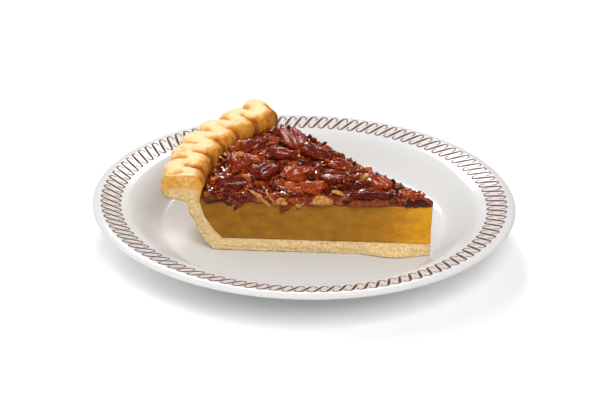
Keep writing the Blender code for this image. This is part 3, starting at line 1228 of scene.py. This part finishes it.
@dataclass
class NutTopping:
    """Glazed layer of nuts: syrup core, large halves, chopped kernels and small bits.

    Pieces stand proud of the cuts by up to a set height; beyond it they are pushed in by a share.
    Cut lift is where pieces at the cuts have their top, in mm about the layer's; end lift is where
    they end, in mm about its bottom. Odds and shares are of the number of pieces.
    """

    wedge: Wedge
    cut_half: str = "pecan_01"
    radius: float = 98.9 * MM
    bottom: float = 23.6 * MM
    top_height: float = 28.0 * MM
    heap: float = 3.4 * MM
    proud: float = 1.5 * MM
    push_in: float = 0.7
    clear_of_cut_half: float = 11.5 * MM
    cut_half_rise: float = 1.6 * MM
    cut_half_tone: float = 0.22
    half_sunk: float = 0.20
    cut_lift: tuple[float, float] = (-1.6, 0.4)
    # painted shade: pieces along the cut faces are made darker by this much tone
    cut_painted_shade: float = 0.16
    near_cut_share: float = 0.6
    flipped_share: float = 0.25
    bare_cut_odds: tuple[float, float] = (0.93, 0.07)
    area_shares: tuple[float, float] = (0.0016, 0.975)
    cut_reach: tuple[float, float] = (0.03, 0.97)
    end_lift: tuple[float, float] = (-0.9, 0.6)
    break_reach: tuple[float, float] = (0.05, 0.28)
    break_tilt: float = 0.7
    core_grid: tuple[int, int, int] = (130, 90, 9)
    chips: tuple[PaleChip, ...] = (
        PaleChip(48.0, 0.6, 24.0, 11.0, 7.6),
        PaleChip(65.5, 0.5, 23.4, 6.6, 6.0),
        PaleChip(76.5, 0.4, 26.4, 9.0, 2.8, pitch=-42.0),
        PaleChip(73.5, 0.4, 24.4, 10.0, 2.8, pitch=-48.0),
        PaleChip(70.2, 0.4, 25.2, 7.4, 2.4, pitch=-56.0),
        PaleChip(41.0, 1.6, 28.2, 6.0, 3.0, pitch=-12.0),
        PaleChip(33.0, 27.0, 29.6, 4.6, 3.4, pitch=35.0, yaw=40.0),
        PaleChip(90.0, 18.0, 33.0, 4.8, 4.0, yaw=70.0),
        PaleChip(27.5, 0.5, 24.0, 19.0, 6.4, pitch=2.0, flesh=0.12),
    )
    kinds: tuple[Strewn, ...] = (
        Strewn("chopped_pecans", 7, 130, (26, 28), (8.0, 14.0), (5.0, 8.5), (-0.4, 2.0)),
        Strewn("pecan_bits", 8, 620, (11, 12), (2.0, 5.2), (1.4, 3.4), (-0.6, 1.8), at_cuts=0.26,
               pale=0.06, tilt=0.8, tone=(0.0, 0.75)),
        Strewn("pecan_slivers", 9, 90, (16, 10), (5.0, 11.0), (1.2, 2.4), (-0.2, 2.2), at_cuts=0.3,
               pale=0.10, bare=0.8, tilt=0.4, tone=(0.0, 0.8)),
    )

    def top(self, radius: Array, angle: Array) -> Array:
        """Height of the layer's upper side: it heaps towards the crust and the far cut.

        Args:
            radius: Distances from the tip.
            angle: Angles from the near cut.

        Returns:
            Their heights.
        """
        along = smooth((radius - 35 * MM) / (60 * MM))
        inward = smooth(angle / math.radians(22))
        return self.top_height + self.heap * along * inward

    def chip_places(self) -> Array:
        """Where the pale pieces lie, one row each."""
        polar = [(c.radius * MM, math.radians(c.angle), c.height * MM) for c in self.chips]
        return self.wedge.world(*np.array(polar).T)

    def build_chips(self) -> Piece:
        """The pale broken pieces, lumpy kernels cut off a little in front of the near cut face.

        Returns:
            One mesh of them all.
        """
        kernel, rng, pieces = PecanKernel(22, 22), Draws(Seed.CHIP_DRAWS), []
        normal = self.wedge.near_normal()
        for number, (chip, place) in enumerate(zip(self.chips, self.chip_places())):
            points = kernel.surface(chip.length * MM, chip.width * MM, Seed.CHIP_SHAPES + number)
            lumps = gradient_noise(points, 2.2 * MM, Seed.CHIP_LUMPS + number)
            yaw = math.pi - math.radians(chip.angle) + math.radians(chip.yaw)
            points = turned(points * (1 + 0.22 * lumps)[:, None], yaw, math.radians(chip.pitch), 0.4)
            through = self.wedge.tip + (self.proud + rng.uniform(0.4, 0.8) * MM) * normal
            flesh = np.full(len(points), chip.flesh)
            points, _ = flatten_beyond(points + place, flesh, through, normal, 0.0)
            pieces.append((points, 0.3 + 0.6 * flesh, flesh))
        return kernel.mesh("pale_pecan_chips", pieces, 1e-8)

    def build_core(self) -> Piece:
        """Syrup between the nuts: a wedge under the nuts with an uneven upper and lower side.

        Noise moves both sides up and down, and syrup that ran over the cuts stands out there.

        Returns:
            The finished mesh.
        """
        rows, turns, steps = self.core_grid
        edges = np.linspace(0, self.wedge.angle, turns)
        radius, turn = np.broadcast_arrays(self.radius * np.linspace(0, 1, rows)[:, None], edges)
        ground = self.wedge.world(radius.ravel(), turn.ravel(), np.zeros(rows * turns))
        relief = 1.1 * MM * layered_noise(ground, 6 * MM, Seed.SYRUP_TOP).reshape(rows, turns)
        upper = self.top(radius, turn) - 0.9 * MM + relief
        ragged = 0.7 * MM * layered_noise(ground, 7 * MM, Seed.SYRUP_BOTTOM, 2)
        lower = self.bottom + ragged.reshape(rows, turns)
        rise = mix(lower[..., None], upper[..., None], np.linspace(0, 1, steps))
        cuts = [grid_of(radius[:, :1], edges[column], rise[:, column]) for column in (0, -1)]
        polar, quads = joined_grids(grid_of(radius, turn, upper), grid_of(radius, turn, lower),
                                    *cuts, grid_of(self.radius, edges[:, None], rise[-1]))
        core = new_mesh("syrup_core", self.wedge.world(*polar.T), quads)
        place, outward = points_of(core), normals_of(core)
        cut = np.maximum(*self.wedge.cut_shares(*self.wedge.polar(place)[:2], 0.2 * MM))
        drip = 0.5 * MM * cut * (0.4 + layered_noise(place, 3 * MM, Seed.SYRUP_DRIPS, 2))
        set_points(core, place + outward * drip[:, None])
        return core

    def trim(self, points: Array, flesh: Array, bare: float,
             rng: Draws) -> tuple[Array, Array]:
        """Push a kernel in from the cut faces, then cut off what still stands out.

        Most of what stands out is pushed in, so that the cut faces stay lumpy; some pieces stand a
        little prouder than others, and each is cut by a plane that leans a little.

        Args:
            points: Places of the kernel.
            flesh: Share of bare flesh at each point.
            bare: Flesh share that a cut face gets.
            rng: Source of the draws.

        Returns:
            The new places and flesh shares.
        """
        for normal in (self.wedge.near_normal(), self.wedge.far_normal()):
            through = self.wedge.tip + rng.uniform(0.1, 1.0) * self.proud * normal
            lean = np.array([0.0, 0.0, rng.uniform(-0.3, 0.3)])
            tilted = (normal + lean) / np.linalg.norm(normal + lean)
            through = through + np.array([0.0, 0.0, 1.0]) * (points[:, 2].mean() - through[2])
            excess = max(np.max((points - through) @ tilted), 0.0)
            points = points - self.push_in * excess * normal
            points, flesh = flatten_beyond(points, flesh, through, tilted, bare)
        return points, flesh

    def build_half(self, name: str, number: int) -> Piece:
        """A detailed half in the place, size and direction of its solid.

        The solid's long, cross and short axes are the singular vectors of its points.

        Args:
            name: Name of the solid.
            number: Its number, which also picks the pattern of folds.

        Returns:
            The finished mesh.
        """
        cloud = points_of(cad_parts[name])
        centre = cloud.mean(axis=0)
        _, _, axes = np.linalg.svd(cloud - centre, full_matrices=False)
        axes[0] *= np.sign(axes[0][0]) or 1.0
        axes[2] *= np.sign(axes[2][2])
        axes[1] = np.cross(axes[2], axes[0])
        extent = np.ptp((cloud - centre) @ axes.T, axis=0)
        fine, rng = PecanKernel(46, 44), Draws(Seed.HALF_DRAWS + number)
        local = fine.surface(0.96 * extent[0], 0.98 * extent[1], number) * np.array([1.0, 1.0, 0.85])
        points = local @ axes + centre - axes[2] * self.half_sunk * extent[1]
        flesh = np.zeros(len(points))
        if name == self.cut_half:
            points, tone = points + np.array([0.0, 0.0, self.cut_half_rise]), self.cut_half_tone
        else:
            points, flesh = self.trim(points, flesh, 0.6, rng)
            tone = 0.25 + 0.35 * rng.rand()
        return fine.mesh(f"glazed_{name}", [(points, np.full(len(points), tone), flesh)], 0.5e-6)

    def strewn_places(self, spec: Strewn, rng: Draws) -> tuple[Array, Array]:
        """Draw where the pieces of one kind lie.

        They are spread evenly over the layer, and the share given by the kind lies along the cuts.
        Those too close to the half in the cut or to a pale piece are left out.

        Args:
            spec: The kind of piece.
            rng: Source of the draws.

        Returns:
            Their highest points, and whether each lies along a cut.
        """
        count = spec.count
        radius = self.radius * np.sqrt(rng.uniform(*self.area_shares, count))
        angle = self.wedge.angle * rng.uniform(0.0, 1.0, count)
        lift = rng.uniform(*spec.lift, count) * MM
        edge = rng.rand(count) < spec.at_cuts
        side = np.where(rng.rand(count) < self.near_cut_share, 0.0, self.wedge.angle)
        angle = np.where(edge, side, angle)
        radius = np.where(edge, self.radius * rng.uniform(*self.cut_reach, count), radius)
        lift = np.where(edge, rng.uniform(*self.cut_lift, count) * MM, lift)
        places = self.wedge.world(radius, angle, self.top(radius, angle) + lift)
        off_half = np.array([1.0, 1.3, 1.3]) * (places - np.mean(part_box(self.cut_half), axis=0))
        off_chip = np.linalg.norm(places[:, None] - self.chip_places()[None], axis=2)
        clear = np.array([0.35 * (chip.length + chip.width) * MM for chip in self.chips])
        keep = (np.linalg.norm(off_half, axis=1) > self.clear_of_cut_half) & np.all(off_chip > clear, 1)
        return places[keep], edge[keep]

    def broken_kernel(self, spec: Strewn, kernel: PecanKernel, number: int,
                      rng: Draws) -> tuple[Array, Array]:
        """Draw one broken piece: a kernel pressed flat beyond up to two break planes, and turned.

        Args:
            spec: The kind of piece.
            kernel: Grid of its surface.
            number: Its number, which also picks the pattern of folds.
            rng: Source of the draws.

        Returns:
            Its points about the origin and their flesh shares.
        """
        length, width = rng.uniform(*spec.length) * MM, rng.uniform(*spec.width) * MM
        points = kernel.surface(length, width, spec.seed * 37 + number)
        flesh = np.full(len(points), spec.bare if rng.rand() < spec.pale else 0.0)
        bare = rng.choice((0.1, 1.0), p=(1 - spec.pale, spec.pale))
        for _ in range(rng.choice(3, p=spec.breaks)):
            heading = rng.uniform(0, 2 * math.pi)
            tilt = rng.uniform(-self.break_tilt, self.break_tilt)
            out = turned(np.array([[1.0, 0.0, 0.0]]), heading, tilt, 0.0)[0]
            reach = rng.uniform(*self.break_reach) * (length * abs(out[0]) + width * abs(out[1]))
            points, flesh = flatten_beyond(points, flesh, out * reach, out, bare)
        flip = math.pi if rng.rand() < self.flipped_share else 0.0
        points = turned(points, rng.uniform(0, 2 * math.pi), rng.normal(0, spec.tilt),
                        rng.normal(0, spec.tilt * 1.4) + flip)
        return points, flesh

    def scatter(self, spec: Strewn) -> Piece:
        """Strew pieces of one kind over the layer and along both cut faces, as one mesh.

        A piece hangs from its highest point. One that would reach below the layer's bottom is
        squeezed in height, so that it ends near it.

        Args:
            spec: The kind of piece.

        Returns:
            The mesh of all its pieces, each closed.
        """
        rng, kernel, pieces = Draws(spec.seed), PecanKernel(*spec.grid), []
        for number, (place, edge) in enumerate(zip(*self.strewn_places(spec, rng))):
            points, flesh = self.broken_kernel(spec, kernel, number, rng)
            points = points - points.mean(axis=0) * np.array([1.0, 1.0, 0.0]) + place
            top = points[:, 2].max()
            low = min(points[:, 2].min() - top, -1.0 * MM)
            deep = self.bottom + rng.uniform(*self.end_lift) * MM - place[2]
            points[:, 2] = (points[:, 2] - top) * min(1.0, deep / low) + place[2]
            bare = rng.choice((0.0, 0.9), p=self.bare_cut_odds)
            points, flesh = self.trim(points, flesh, bare, rng)
            # painted shade: a piece along a cut is darkened
            tone = rng.uniform(*spec.tone) - self.cut_painted_shade * edge
            pieces.append((points, np.full(len(points), tone), flesh))
        return kernel.mesh(spec.name, pieces, 1e-8)

    def make(self, syrup: Material, pecan: Material) -> None:
        """Build and dress the whole layer.

        Args:
            syrup: Finish of the core.
            pecan: Finish of every nut.
        """
        finish_piece(self.build_core(), syrup, Slot.NUT_GLAZE, "pecan_topping")
        finish_piece(self.build_chips(), pecan, Slot.PECAN)
        for spec in self.kinds:
            finish_piece(self.scatter(spec), pecan, Slot.PECAN)
        names = sorted(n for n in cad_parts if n.startswith("pecan_") and n[-2:].isdigit())
        for number, name in enumerate(names, 1):
            finish_piece(self.build_half(name, number), pecan, Slot.PECAN, name)


# ---------------------------------------------------------------- floor, camera and light

@dataclass
class Studio:
    """Plain pale floor, soft light and the camera."""

    aim: tuple[float, float, float] = (0.0, 0.0, 21.0 * MM)
    distance: float = 759.6 * MM
    elevation: float = math.radians(25.42)
    roll: float = math.radians(1.18)
    lens: float = 100.98
    sensor: float = 36.0
    off_centre: tuple[float, float] = (0.0068833, 0.0085)
    board: str = "F0F0F0"
    board_glow: float = 0.15
    sky_low: str = "9A9A9A"
    sky_high: str = "FFFFFF"
    sky_strength: float = 0.34

    def add_floor(self) -> None:
        """A large pale board under the plate, a little lighter than its share of the light."""
        bpy.ops.mesh.primitive_plane_add(size=6.0, location=(0.0, 0.0, -0.0002))
        floor = bpy.context.object
        floor.name = "floor"
        material, tree, _ = new_material("pale_board")
        add_surface(tree, {"Base Color": linear(self.board), "Roughness": 0.9,
                           "Specular IOR Level": 0.1, "Emission Color": linear("FFFFFF"),
                           "Emission Strength": self.board_glow})
        floor.data.materials.append(material)

    def add_camera(self) -> None:
        """Look at the plate from the front, from above, with a long lens.

        The camera is tilted by the roll, and its aim is moved so that the plate's centre falls off
        the middle, by two shares of the frame's width.
        """
        back = Vector((0.0, -math.cos(self.elevation), math.sin(self.elevation)))
        right = Vector((1.0, 0.0, 0.0))
        up = back.cross(right)
        tilted_right = right * math.cos(self.roll) + up * math.sin(self.roll)
        tilted_up = up * math.cos(self.roll) - right * math.sin(self.roll)
        place = Vector(self.aim) + back * self.distance
        view = self.distance * self.sensor / self.lens
        target = (Vector(self.aim) - tilted_right * self.off_centre[0] * view
                  - tilted_up * self.off_centre[1] * view)
        look = (place - target).normalized()
        side = (tilted_right - look * tilted_right.dot(look)).normalized()
        basis = Matrix((side, look.cross(side), look)).transposed()
        data = bpy.data.cameras.new("camera")
        data.lens = self.lens
        data.sensor_width = self.sensor
        data.clip_start = 0.01
        camera = bpy.data.objects.new("camera", data)
        camera.matrix_world = Matrix.Translation(place) @ basis.to_4x4()
        bpy.context.scene.collection.objects.link(camera)
        bpy.context.scene.camera = camera

    def add_light(self, name: str, place: tuple[float, float, float], size: float,
                  watts: float, height: float = 0.0, mirrored: bool = False) -> None:
        """Add a softbox that faces the plate.

        Args:
            name: Name of the light.
            place: Where it hangs, in metres.
            size: Width in metres.
            watts: Power.
            height: Height in metres; a square one if it is 0.
            mirrored: Whether it shows in glossy surfaces only; the others light matt ones only.
        """
        data = bpy.data.lights.new(name, "AREA")
        data.shape = "RECTANGLE"
        data.size, data.size_y = size, height or size
        data.energy = watts
        light = bpy.data.objects.new(name, data)
        light.location = place
        light.visible_glossy = mirrored
        light.visible_diffuse = not mirrored
        light.rotation_euler = (Vector(self.aim) - Vector(place)).to_track_quat("-Z", "Y").to_euler()
        bpy.context.scene.collection.objects.link(light)

    def add_sky(self) -> None:
        """Dim grey room, lighter towards the ceiling."""
        world = bpy.data.worlds.new("studio")
        world.use_nodes = True
        tree = world.node_tree
        direction = add_node(tree, "TexCoord", out="Generated")
        height = add_node(tree, "SeparateXYZ", links={0: direction}, out="Z")
        sky = add_node(tree, "ValToRGB", links={"Fac": height},
                       stops=((0.05, self.sky_low), (0.85, self.sky_high)))
        background = tree.nodes["Background"]
        tree.links.new(sky, background.inputs["Color"])
        background.inputs["Strength"].default_value = self.sky_strength
        bpy.context.scene.world = world
        bpy.context.scene.view_settings.view_transform = "Standard"

    def make(self) -> None:
        """Set up the whole studio."""
        self.add_floor()
        self.add_camera()
        self.add_light("left_softbox", (-0.90, 0.10, 0.95), 1.10, 9.0)
        self.add_light("key_softbox", (-0.10, 0.95, 0.80), 0.22, 6.0)
        self.add_light("gloss_strip", (-0.10, 1.00, 0.745), 0.56, 9.6, height=0.18, mirrored=True)
        self.add_light("front_softbox", (0.25, -0.95, 1.05), 0.70, 14.2)
        self.add_sky()


def main() -> None:
    """Build every piece in order."""
    logging.basicConfig(level=logging.INFO, format="%(name)s %(message)s")
    wedge = Wedge.from_model()
    shell = PastryShell(wedge)
    DessertPlate().make(GlazedChina().make(), PrintedEnamel().make())
    shell.make(BakedPastry().make())
    PieFilling(wedge, shell).make(SetFilling().make())
    NutTopping(wedge).make(NutSyrup().make(), GlazedPecan().make())
    Studio().make()


if __name__ == "__main__":
    main()
